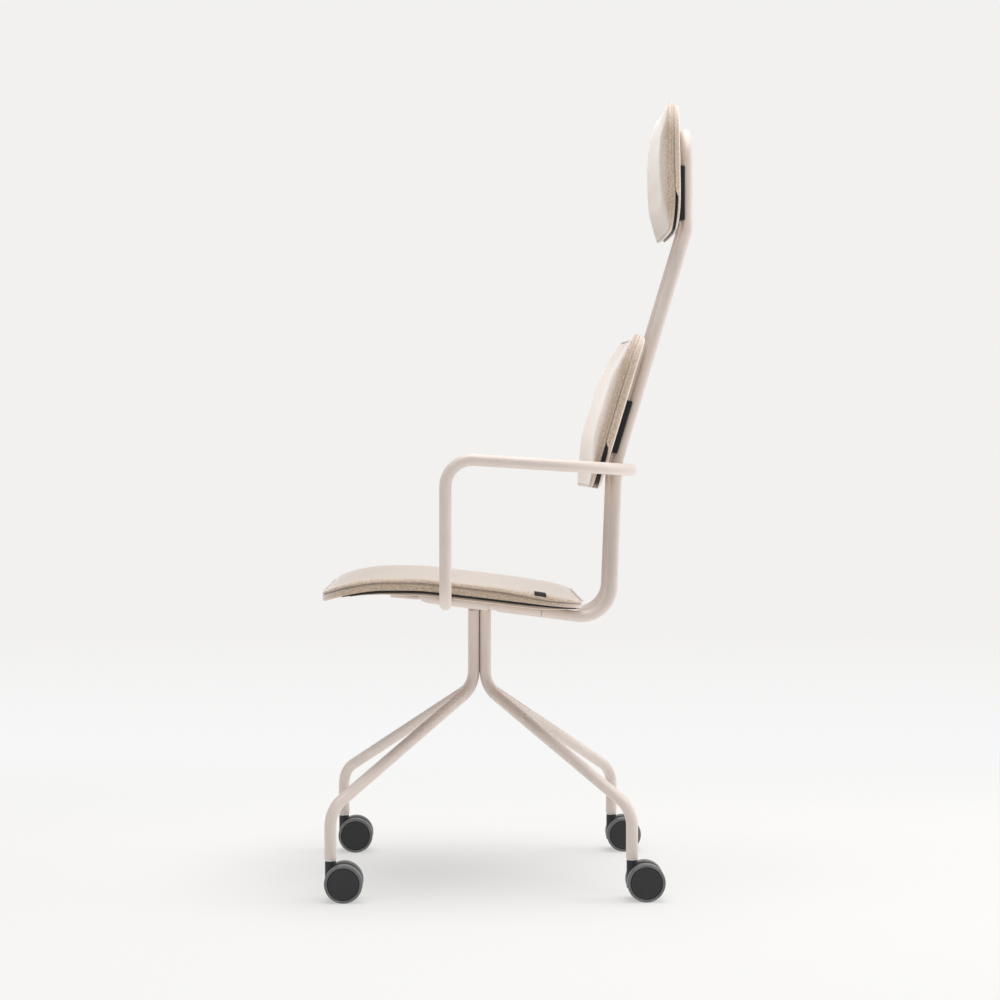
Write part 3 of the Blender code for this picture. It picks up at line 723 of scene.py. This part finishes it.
# One rounded rectangle, walked anticlockwise, with sides drawn in by waist between the corners
def padRing(halfW, halfL, corner, waist=0.0):
    arcSteps, straightSteps = 10, 30
    corner = min(corner, halfW, halfL)
    points = []
    for quarter in range(4):
        start = quarter * math.pi / 2
        middleX = (halfW - corner) * (1 if quarter in (0, 3) else -1)
        middleY = (halfL - corner) * (1 if quarter in (0, 1) else -1)
        for step in range(arcSteps + 1):
            angle = start + step / arcSteps * math.pi / 2
            points.append((middleX + corner * math.cos(angle), middleY + corner * math.sin(angle)))
        reach = 2 * (halfW - corner if quarter % 2 == 0 else halfL - corner)
        lastX, lastY = points[-1]
        for step in range(1, straightSteps):
            gone = step / straightSteps * reach
            points.append((lastX - gone * math.sin(angle), lastY + gone * math.cos(angle)))
    drawn = []
    for u, v in points:
        inU = 1 - waist / halfW * max(0.0, 1 - (v / halfL) ** 2)
        inV = 1 - waist / halfL * max(0.0, 1 - (u / halfW) ** 2)
        drawn.append((u * inU, v * inV))
    return drawn


# A pad layer lofted through rings of (inset, height); place turns pad coordinates into a point.
# The attribute "cloth" keeps its pad coordinates, which the weave follows.
# A side below 1 gives steeper flanks.
def padLayer(shape, profile, place, band=False, waist=0.0, side=1.0):
    bm = bmesh.new()
    cloth = bm.verts.layers.float_vector.new("cloth")
    verts = []
    loops = []
    for inset, height in profile:
        corner = max(shape["corner"] - inset, leastCorner)
        ring = padRing(shape["halfW"] - inset * side, shape["halfL"] - inset, corner, waist)
        if loops:
            grown = set(bmesh.ops.extrude_edge_only(bm, edges=loops[-1])["geom"])
            links = [[edge.other_vert(vert) for edge in vert.link_edges] for vert in verts]
            verts = [next(other for other in others if other in grown) for others in links]
            loops.append([bm.edges.get(pair) for pair in zip(verts, verts[1:] + verts[:1])])
        else:
            verts = [bm.verts.new() for point in ring]
            loops.append([bm.edges.new(pair) for pair in zip(verts, verts[1:] + verts[:1])])
        for vert, (u, v) in zip(verts, ring):
            h = height(v) if callable(height) else height
            vert.co = place(u, v, h)
            vert[cloth] = (u, v, h)
    if band:
        bmesh.ops.bridge_loops(bm, edges=loops[0] + loops[-1])
    else:
        bmesh.ops.contextual_create(bm, geom=loops[0])
        bmesh.ops.contextual_create(bm, geom=loops[-1])
    return bm


# A roll or thread that runs round a pad
def padRoll(shape, inset, height, radius, place, waist=0.0):
    corner = max(shape["corner"] - inset, leastCorner)
    ring = padRing(shape["halfW"] - inset, shape["halfL"] - inset, corner, waist)
    line = [(u, v, height(v) if callable(height) else height) for u, v in ring]
    bm = tubeMesh(line, radius, closed=True, resolution=4)
    return laid(bm, place)


# Record pad coordinates and move a flat piece into its place
def laid(bm, place):
    cloth = bm.verts.layers.float_vector.new("cloth")
    for vert in bm.verts:
        vert[cloth] = vert.co
        vert.co = Vector(place(*vert.co))
    return bm


def flat(u, v, height):
    return (u, v, height)


cushioning = {
    "voxel": 0.004,
    "pressure": 4,
    "frames": 20,
    "allSmoothed": 2,        # rounds of smoothing
    "frontSmoothed": 5,
    "frontFrom": 0.003,      # above what is held
}


# Swell a flat pad by cloth pressure; what lies below heldBelow stays, and no point moves further than cap
def swell(piece, heldBelow, cap):
    held = piece.vertex_groups.new(name="held")
    held.add([v.index for v in piece.data.vertices if v.co.z < heldBelow], 1.0, "REPLACE")
    before = [v.co.copy() for v in piece.data.vertices]
    cloth = piece.modifiers.new("cloth", "CLOTH")
    cloth.settings.vertex_group_mass = "held"
    cloth.settings.use_pressure = True
    cloth.settings.uniform_pressure_force = cushioning["pressure"]
    cloth.settings.effector_weights.gravity = 0
    cloth.point_cache.frame_end = cushioning["frames"]
    for step in range(1, cushioning["frames"] + 1):
        scene.frame_set(step)
    bm = evaluated(piece)
    bm.verts.ensure_lookup_table()
    for vert, was in zip(bm.verts, before):
        shift = vert.co - was
        if shift.length > 1e-6:
            vert.co = was + shift.normalized() * cap * math.tanh(shift.length / cap)
    scene.frame_set(1)
    return bm


# A padded cushion: lofted flat, remeshed, swollen, smoothed and laid in place
def cushionMesh(shape, profile, place, heldBelow, cap, side=1.0):
    tighter = dict(shape, corner=shape["corner"] - shape["tighter"])    # smoothing rounds it again
    blank = scratchMesh("blank", padLayer(tighter, profile, flat, waist=waist, side=side))
    remesh = blank.modifiers.new("remesh", "REMESH")
    remesh.mode = "VOXEL"
    remesh.voxel_size = cushioning["voxel"]
    piece = scratchMesh("blank", evaluated(blank))
    bm = swell(piece, heldBelow, cap)
    for layer in list(bm.verts.layers.deform.values()):
        bm.verts.layers.deform.remove(layer)
    front = [vert for vert in bm.verts if vert.co.z > heldBelow + cushioning["frontFrom"]]
    for verts in [bm.verts] * cushioning["allSmoothed"] + [front] * cushioning["frontSmoothed"]:
        bmesh.ops.smooth_vert(bm, verts=verts, factor=0.5, use_axis_x=True, use_axis_y=True, use_axis_z=True)
    piece = scratchMesh("blank", bm)
    finer = piece.modifiers.new("finer", "SUBSURF")
    finer.levels = 1
    finer.render_levels = 1
    bm = evaluated(piece)
    surface = BVHTree.FromBMesh(bm)
    return laid(bm, place), surface


seat = {
    "halfW": 0.222,
    "halfL": 0.19875,
    "corner": 0.065,
    "tighter": 0.010,
    "middleY": -0.04325,
    "levelZ": 0.463,
    "levelY": -0.091,
    "soft": 0.016,          # length over which the fall begins
    "fall": 0.120,
    "rollY": -0.141,
    "frontDrop": 0.0204,
    "seam": 0.0130,
    "shellFrontY": -0.209,
    "shellRearY": 0.143,
    "coverFrontY": -0.196,
    "rearRun": 0.125,       # length over which the seam runs lower to the rear
    "seamFall": 0.7,
    "seamLeast": 0.62,      # shares of the seam's height
    "bulge": 0.4,
    "frontFuller": 0.2,
    "edgeRun": 0.05,        # from the front and rear edges
    "over": 0.003,
    "endLeast": 0.7,
    "endRun": 0.04,
    "restTo": 0.170,        # the under-cover leaves the rails by here
    "restRun": 0.080,
}
# Black edge that shows under the cushion, from the front to the rear
shellEdge = (
    (-0.209, 0.0006), (-0.196, 0.0018), (-0.160, 0.0028), (-0.120, 0.0028), (-0.060, 0.0024), (0.060, 0.0024),
    (0.142, 0.0012),
)


def shellTop(y):
    past = y - seat["levelY"]
    fallen = seat["fall"] * (past + math.sqrt(past * past + seat["soft"] ** 2)) / 2
    frontY = seat["middleY"] - seat["halfL"]
    rolled = seat["frontDrop"] * max(0.0, (seat["rollY"] - y) / (seat["rollY"] - frontY)) ** 2
    return seat["levelZ"] - fallen - rolled


# The front stays full to its edge; towards the rear the seam runs lower and the top bulges over it
def onSeat(u, v, height):
    y = seat["middleY"] + v
    fromRear = seat["halfL"] - v
    share = max(0.0, 1 - fromRear / seat["rearRun"])
    below = min(height, seat["seam"]) * max(seat["seamLeast"], 1 - seat["seamFall"] * share)
    above = max(0.0, height - seat["seam"]) * (1 + seat["bulge"] * min(1.0, 2 * share))
    above *= 1 + seat["frontFuller"] * max(0.0, 1 - (v + seat["halfL"]) / seat["edgeRun"])
    over = seat["over"] * max(0.0, 1 - fromRear / seat["edgeRun"]) * min(1.0, above / seat["over"])
    ending = min(1.0, seat["endLeast"] + (1 - seat["endLeast"]) * fromRear / seat["endRun"])
    return (u, columnY + y + over, shellTop(y) + below + above * ending)


# Shell: height 0 is its top, -1 its underside
def onShell(u, v, height):
    y = seat["middleY"] + v
    return (u, columnY + y, shellTop(y) + height * reading(shellEdge, y))


# Lip of fabric that shows under the black edge, from the front to the rear
coverLip = (
    (-0.196, 0.0010), (-0.150, 0.0026), (-0.110, 0.0040), (0.040, 0.0044), (0.090, 0.0046), (0.118, 0.0028),
    (0.134, 0.0010),
)


# Under-cover: height 1 is its top, under the shell.
# Height 0 is its underside, which rests on the rails and thins outwards.
def underSeat(u, v, height):
    y = seat["middleY"] + v
    high = shellTop(y) - reading(shellEdge, y) - fit
    railTop = rail["z"] - rail["slope"] * y + tubeR / math.cos(railAngle)
    lip = high - reading(coverLip, y)
    resting = min(1.0, max(0.0, (seat["restTo"] - abs(u)) / seat["restRun"]))
    low = lip + resting * min(0.0, railTop + 2 * fit - lip)
    return (u, columnY + y, low + height * (high - low))


flatInsets = (0.190, 0.170, 0.150, 0.130, 0.110, 0.085, 0.060, 0.040, 0.020)
bm, seatSurface = cushionMesh(
    seat,
    [(inset, 0.0124) for inset in flatInsets]
    + [(0.006, 0.0124), (0.0018, 0.0136), (0.0012, 0.0150), (0.0026, 0.0163), (0.006, 0.0173)]
    + [(0.012, 0.0181), (0.024, 0.0189), (0.045, 0.0198), (0.080, 0.0208), (0.120, 0.0215), (0.190, 0.0218)],
    onSeat,
    0.0132,
    0.0012,
)
piece = addPiece("padded_seat", bm, fabric, "seat", ["seat_cushion"])
bm = padLayer(
    seat,
    [(0.016, 0.0004), (0.003, 0.0004), (0.0012, 0.0026), (0.0008, 0.0065), (0.0012, 0.0096), (0.0028, 0.0112)]
    + [(0.006, 0.0118), (0.016, 0.0118)],
    onSeat,
    band=True,
    waist=waist,
)
addPiece("seat_boxing", bm, fabric, "seat")
bm = padRoll(seat, 0.0020, 0.0142, 0.0016, onSeat, waist)
addPiece("seat_welt", bm, fabric, "seat")
# A thin dark thread laid in the seam's groove: painted shade along the seam
bm = padRoll(seat, 0.0022, 0.0121, 0.0006, onSeat, waist)
addPiece("seat_seam_painted_shade", bm, seamShadeThread, "seat")

shellInsets = flatInsets + (0.005, 0.0034)
bm = padLayer(
    seat,
    [(inset, -1.0) for inset in shellInsets] + [(0.003, -0.8), (0.003, -0.2)]
    + [(inset, 0.0) for inset in reversed(shellInsets)],
    onShell,
)
trim(bm, (0, columnY + seat["shellFrontY"], 0), (0, -1, 0))
trim(bm, (0, columnY + seat["shellRearY"], 0), (0, 1, 0))
addPiece("seat_board", bm, blackPlastic, "seat", ["seat_shell"])

coverInsets = flatInsets + (0.0075,)
bm = padLayer(
    seat,
    [(inset, 0.0) for inset in coverInsets] + [(0.0058, 0.2), (0.0052, 0.6), (0.0056, 0.9)]
    + [(inset, 1.0) for inset in reversed(coverInsets)],
    underSeat,
)
trim(bm, (0, columnY + seat["coverFrontY"], 0), (0, -1, 0))
groove = tubeMesh(
    [Vector((x, columnY + arm["postY"], arm["lowZ"])) for x in (-arm["x"], arm["x"])], tubeR + fit
)
addPiece("seat_lining", cut(bm, groove), fabric, "seat", ["seat_under_cover"])

# Blank ribbon tag, sewn on above the seam at the sitter's left
tag = {
    "fromV": 0.1227,
    "long": 0.0180,
    "low": 0.0240,
    "inward": 0.023,
    "tall": 0.0125,
    "thick": 0.0007,
}
bm = bmesh.new()
bmesh.ops.create_grid(bm, x_segments=9, y_segments=6, size=0.5)
for vert in bm.verts:
    v = tag["fromV"] + (vert.co.x + 0.5) * tag["long"]
    up = vert.co.y + 0.5
    near = Vector((seat["halfW"] - up * tag["inward"], v, tag["low"] + up * tag["tall"]))
    hit, facing = seatSurface.find_nearest(near)[:2]
    vert.co = hit + facing * fit
bmesh.ops.solidify(bm, geom=list(bm.faces), thickness=tag["thick"])
addPiece("blank_tag", laid(bm, onSeat), ribbon, "seat")
print("seat made")

pads = {
    "standOff": 0.0049,
    "coverT": 0.0038,
    "wrapR": 2.3,
    "taperRun": 0.055,
    "taper": 0.15,
    "side": 0.35,
    "rounder": 0.008,       # corners behind the cushion
    "over": 0.003,
    "overRise": 0.004,      # above the seam, where it is reached
    "leastRun": 0.0015,
    "core": 0.012,
    "blend": 0.014,
    "swollen": 0.0022,
}
backPad = {
    "halfW": 0.200,
    "halfL": 0.122,
    "corner": 0.055,
    "tighter": 0.0,
    "rollRun": 0.085,
    "dome": 0.88,           # below 1 the edges are fuller
    "lift": 0.002,
    "sag": 0.0025,
    "droop": 0.15,
    "overhang": 0.0045,
    "middle": 0.0758,
    "slotTop": -0.0636,
    "boardT": 0.0070,
    "seam": 0.0222,
    "crown": 0.0400,
}
headPad = {
    "halfW": 0.140,
    "halfL": 0.1005,
    "corner": 0.050,
    "tighter": 0.0,
    "rollRun": 0.050,
    "dome": 0.72,
    "lift": 0.001,
    "sag": 0.0025,
    "droop": 0.0,
    "overhang": 0.0,
    "middleZ": 1.1119,
    "slotTop": -0.051,
    "boardT": 0.0042,
    "seam": 0.0193,
    "crown": 0.0378,
    "curl": 0.004,
    "curlRun": 0.050,
    "tip": 0.020,
    "tipFrom": -0.035,
}
leanStart = Vector((0, *back["lean"]))
lean = (Vector((0, *back["nape"])) - leanStart).normalized()
forward = Vector((1, 0, 0)).cross(lean)
backOrigin = leanStart + Vector((0, columnY, 0)) + forward * tubeR + lean * backPad["middle"]


# Height forward from the tubes: wrapped round the sitter, thinner at the top, rolled in along the bottom
def raised(shape, u, v, height):
    rolled = 1 - max(0.0, 1 - max(pads["leastRun"], v + shape["halfL"]) / shape["rollRun"]) ** 2
    share = min(1.0, (shape["halfL"] - v) / pads["taperRun"])
    thinner = 1 - pads["taper"] * (1 - share) ** 2
    beyond = max(0.0, height - shape["seam"]) * rolled
    return (min(height, shape["seam"]) + beyond) * thinner + u * u / (2 * pads["wrapR"])


# Place along the pad: the cushion reaches a little over its seam at the top and at the bottom
def hung(shape, v, height):
    high = max(0.0, 1 - (shape["halfL"] - v) / pads["taperRun"])
    low = max(0.0, 1 - (v + shape["halfL"]) / pads["taperRun"])
    beyond = max(0.0, height - shape["seam"])
    over = min(1.0, beyond / pads["overRise"])
    up = high * (shape["lift"] + pads["over"] * over)
    return v + up - low * (shape["sag"] + shape["droop"] * beyond + shape["overhang"] * over)


def onBack(u, v, height):
    point = backOrigin + lean * hung(backPad, v, height) + forward * raised(backPad, u, v, height)
    return (u, point.y, point.z)


def onHead(u, v, height):
    curl = headPad["curl"] * max(0.0, 1 - (v + headPad["halfL"]) / headPad["curlRun"]) ** 2
    tip = headPad["tip"] * max(0.0, v - headPad["tipFrom"])
    y = columnY + back["nape"][0] - tubeR - raised(headPad, u, v, height) - curl - tip
    return (u, y, headPad["middleZ"] + hung(headPad, v, height))


# Rise of a cushion from its seam: (inset, share of the crown)
padRise = (
    (0.0012, 0.12), (0.0024, 0.24), (0.007, 0.38), (0.018, 0.52), (0.030, 0.63), (0.045, 0.74), (0.060, 0.83),
    (0.074, 0.91),
)


# A back or head pad: rear cover with slots, board, band, rolled seam and cushion
def padSet(name, cushionShape, place):
    shape = dict(cushionShape, corner=cushionShape["corner"] + pads["rounder"])
    rear = pads["standOff"]
    floor = rear + pads["coverT"]
    boardLow = floor + fit
    boardHigh = boardLow + shape["boardT"]
    low = boardHigh + fit
    seam = shape["seam"]
    deep = shape["halfL"] - pads["core"]
    flats = (deep, deep * 0.75, deep * 0.5, deep * 0.3)

    def rim(v):
        share = min(1.0, max(0.0, (v - shape["slotTop"]) / pads["blend"]))
        return floor + share * share * (3 - 2 * share) * (boardHigh - floor)

    bm = padLayer(
        shape,
        [(inset, rear) for inset in flats]
        + [(0.020, rear), (0.013, rear + 0.0002), (0.0085, rear + 0.0008), (0.0060, rear + 0.0018)]
        + [(0.0048, floor - 0.0006), (0.0030, rim)]
        + [(0.0038, lambda v: rim(v) + 0.0002), (0.0050, rim), (0.0058, floor)]
        + [(inset, floor) for inset in reversed(flats)],
        place,
    )
    addPiece(name + "_cover", bm, fabric, "seat", [name + "_rear_cover"])
    bm = padRoll(shape, 0.0034, lambda v: rim(v) - 0.0003, 0.0009, place)
    addPiece(name + "_cover_hem", bm, fabric, "seat")
    edge = 0.0064
    bm = padLayer(
        shape,
        [(inset, boardLow) for inset in flats] + [(edge + 0.0008, boardLow), (edge, boardLow + 0.0008)]
        + [(edge, boardHigh - 0.0008), (edge + 0.0008, boardHigh)]
        + [(inset, boardHigh) for inset in reversed(flats)],
        place,
    )
    addPiece(name + "_board", bm, blackPlastic, "seat", [name + "_shell"])
    bm = padLayer(
        shape,
        [(0.020, low), (0.0050, low), (0.0026, low + 0.0010), (0.0014, low + 0.0026), (0.0012, seam - 0.0014)]
        + [(0.0032, seam - 0.0005), (0.008, seam - 0.0002), (0.020, seam - 0.0002)],
        place,
        band=True,
        waist=waist,
    )
    addPiece(name + "_boxing", bm, fabric, "seat")
    bm = padRoll(shape, 0.0021, seam + 0.0014, 0.0015, place, waist)
    addPiece(name + "_welt", bm, fabric, "seat")
    bm = padRoll(shape, 0.0024, seam - 0.0006, 0.0006, place, waist)
    addPiece(name + "_seam", bm, fabric, "seat")
    crown = shape["crown"] - pads["swollen"]
    rest = crown - seam
    bm = cushionMesh(
        cushionShape,
        [(inset, seam + fit) for inset in flats]
        + [(0.020, seam + fit), (0.006, seam + fit), (0.0018, seam + 0.0012)]
        + [(inset, seam + rest * share ** shape["dome"]) for inset, share in padRise]
        + [(deep * 0.9, seam + 0.985 * rest), (deep, crown)],
        place,
        seam + 0.0014,
        pads["swollen"],
        pads["side"],
    )[0]
    made = addPiece("padded_" + name, bm, fabric, "seat", [name + "_cushion"])


padSet("back", backPad, onBack)
padSet("head", headPad, onHead)
print("pads made")


# Saddles on the tubes

saddle = {
    "wide": 0.024,
    "long": 0.085,
    "deep": 0.0097,
    "reach": 0.0004,
    "edge": 0.0016,
    "backZ": 0.7075,
    "headZ": 1.076,
}


def saddleMesh(side, lowEnd, highEnd, z):
    start = backPoint(side, *lowEnd)
    along = backPoint(side, *highEnd) - start
    middle = start + along * ((z - start.z) / along.z)
    along.normalize()
    across = (Vector((1, 0, 0)) - along * along.x).normalized()
    turn = Matrix((across, along.cross(across), along)).transposed()
    bm = bmesh.new()
    bmesh.ops.create_cube(bm, size=1)
    bmesh.ops.scale(bm, vec=(saddle["wide"], saddle["deep"], saddle["long"]), verts=bm.verts)
    front = tubeR + pads["standOff"] + saddle["reach"] - fit
    bmesh.ops.translate(bm, vec=(0, saddle["deep"] / 2 - front, 0), verts=bm.verts)
    bmesh.ops.bevel(
        bm, geom=list(bm.edges), offset=saddle["edge"], segments=4, profile=0.5, affect="EDGES", material=-1
    )
    ends = [Vector((0, 0, sign * saddle["long"])) for sign in (-1, 1)]
    return moved(cut(bm, tubeMesh(ends, tubeR + fit)), middle, turn)


for sideName, side in sides:
    bm = saddleMesh(side, back["lean"], back["nape"], saddle["backZ"])
    addPiece("back_saddle_" + sideName, bm, blackPlastic, "seat", ["back_mount_" + sideName])
    bm = saddleMesh(side, back["nape"], (back["nape"][0], back["topZ"]), saddle["headZ"])
    addPiece("head_saddle_" + sideName, bm, blackPlastic, "seat", ["head_mount_" + sideName])
print("saddles made")


# Camera: on the sitter's left, 3.7 m away, level with the arms; focal, right and down are pixels of 1000
camera = {"x": 3.695, "y": -0.0929, "z": 0.657, "focal": 2327, "right": 50, "down": 39}
data = bpy.data.cameras.new("camera")
data.sensor_width = 36
data.lens = camera["focal"] / 1000 * data.sensor_width
view = bpy.data.objects.new("camera", data)
scene.collection.objects.link(view)
view.location = (camera["x"], camera["y"], camera["z"])
aimed = Vector((-camera["focal"], camera["right"], -camera["down"]))
view.rotation_euler = aimed.to_track_quat("-Z", "Y").to_euler()
scene.camera = view


# Studio: pale floor that fades into the background far behind, and large soft lights
def makeFloor():
    made, tree, shader = newMaterial("pale_studio_floor")
    tree.nodes.remove(shader)
    along = addNode(tree, "ShaderNodeSeparateXYZ", {}, {0: objectCoords(tree)}).outputs["X"]
    pale = colourMix(tree, ramp(tree, along, -5.2, -1.6), linear("F2F1F0"), linear("F7F7F7"))
    seen = addNode(tree, "ShaderNodeLightPath", {}).outputs["Is Camera Ray"]
    matt = colourMix(tree, seen, linear("F4F3F1"), linear("D7D6D3"))
    lit = addNode(tree, "ShaderNodeBsdfDiffuse", {}, {"Color": matt})
    strength = ramp(tree, seen, 0, 1, 1.3, 1.0)
    glow = addNode(tree, "ShaderNodeEmission", {}, {"Color": pale, "Strength": strength})
    near = ramp(tree, along, -1.5, -0.55, 1.0, 0.50)
    share = addNode(tree, "ShaderNodeMix", {2: 0.55}, {0: seen, 3: near}).outputs[0]
    mix = addNode(tree, "ShaderNodeMixShader", {}, {0: share, 1: lit.outputs[0], 2: glow.outputs[0]})
    tree.links.new(mix.outputs[0], tree.nodes["Material Output"].inputs["Surface"])
    return made


bm = bmesh.new()
bmesh.ops.create_grid(bm, x_segments=1, y_segments=1, size=60)
mesh = bpy.data.meshes.new("studio_floor")
bm.to_mesh(mesh)
bm.free()
mesh.materials.append(makeFloor())
floor = scratch("studio_floor", mesh)

# The world shows as the pale background and is mirrored as bright.
# Its light is soft, and strongest from the wall behind the chair.
world = bpy.data.worlds.new("studio")
scene.world = world
world.use_nodes = True
tree = world.node_tree
paths = addNode(tree, "ShaderNodeLightPath", {})
seen = calculated(tree, "MAXIMUM", paths.outputs["Is Camera Ray"], paths.outputs["Is Glossy Ray"])
backdrop = tree.nodes["Background"]
backdrop.inputs["Color"].default_value = linear("F2F1F0")
aim = addNode(tree, "ShaderNodeTexCoord", {}).outputs["Generated"]
toWall = (-0.85, 0.53, 0)
towards = addNode(tree, "ShaderNodeVectorMath", {"operation": "DOT_PRODUCT", 1: toWall}, {0: aim})
wall = ramp(tree, towards.outputs["Value"], 0.2, 0.9, 0.36, 1.5)
strength = addNode(tree, "ShaderNodeMix", {3: 1.0}, {0: seen, 2: wall}).outputs[0]
tree.links.new(strength, backdrop.inputs["Strength"])

# Place, size and power of each lamp
lamps = {
    "overhead": ((0.25, 0.35, 5.0), 4.0, 258),
    "front": ((0.1, -3.2, 1.5), 2.2, 3),
    "rear": ((-0.2, 3.4, 1.6), 2.2, 34),
}
lampsAim = Vector((0, 0, 0.6))
for name, (place, size, power) in lamps.items():
    light = bpy.data.lights.new(name, "AREA")
    light.size = size
    light.energy = power
    lamp = scratch(name, light)
    lamp.location = place
    lamp.rotation_euler = (lampsAim - Vector(place)).to_track_quat("-Z", "Y").to_euler()

scene.view_settings.view_transform = "Standard"
print("studio made")
